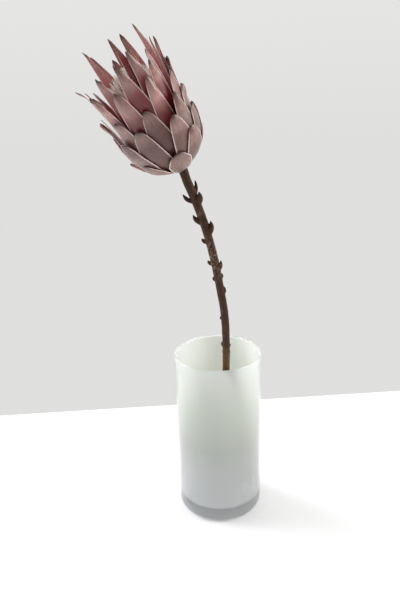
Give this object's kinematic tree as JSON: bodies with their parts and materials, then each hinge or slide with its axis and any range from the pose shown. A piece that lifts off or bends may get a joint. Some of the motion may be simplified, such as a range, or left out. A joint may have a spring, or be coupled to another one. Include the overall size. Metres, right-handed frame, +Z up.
{
  "type": "protea flower in a vase",
  "caption": "King protea bud with overlapping pink bracts on a bare woody stem, leaning out of a tall white-lined glass cylinder vase",
  "frame": {"origin": "middle of the flat foot of the vase, on the surface it stands on", "axes": "+Z up along the vase; the flower leans towards -X and -Y, and -Y is the side it is seen from"},
  "size_m": [0.1966, 0.2425, 0.6488],
  "materials": {
    "clear_glass": "gloss",
    "white_glass": "gloss",
    "bark": "matte",
    "floret_wool": "matte",
    "bract_skin": "matte"
  },
  "bodies": {
    "root": {"vase_casing": "clear_glass", "vase_lining": "white_glass", "stem": "bark", "florets": "floret_wool", "bract_01": "bract_skin", "bract_02": "bract_skin", "bract_03": "bract_skin", "bract_04": "bract_skin", "bract_05": "bract_skin", "bract_06": "bract_skin", "bract_07": "bract_skin", "bract_08": "bract_skin", "bract_09": "bract_skin", "bract_10": "bract_skin", "bract_11": "bract_skin", "bract_12": "bract_skin", "bract_13": "bract_skin", "bract_14": "bract_skin", "bract_15": "bract_skin", "bract_16": "bract_skin", "bract_17": "bract_skin", "bract_18": "bract_skin", "bract_19": "bract_skin", "bract_20": "bract_skin", "bract_21": "bract_skin", "bract_22": "bract_skin", "bract_23": "bract_skin", "bract_24": "bract_skin", "bract_25": "bract_skin", "bract_26": "bract_skin", "bract_27": "bract_skin", "bract_28": "bract_skin", "bract_29": "bract_skin", "bract_30": "bract_skin", "bract_31": "bract_skin", "bract_32": "bract_skin", "bract_33": "bract_skin", "bract_34": "bract_skin", "bract_35": "bract_skin", "bract_36": "bract_skin", "bract_37": "bract_skin", "bract_38": "bract_skin", "bract_39": "bract_skin", "bract_40": "bract_skin", "bract_41": "bract_skin", "bract_42": "bract_skin", "bract_43": "bract_skin", "bract_44": "bract_skin", "bract_45": "bract_skin", "bract_46": "bract_skin", "bract_47": "bract_skin", "bract_48": "bract_skin", "bract_49": "bract_skin", "bract_50": "bract_skin", "bract_51": "bract_skin", "bract_52": "bract_skin", "bract_53": "bract_skin", "bract_54": "bract_skin", "bract_55": "bract_skin", "bract_56": "bract_skin"}
  },
  "joints": []
}
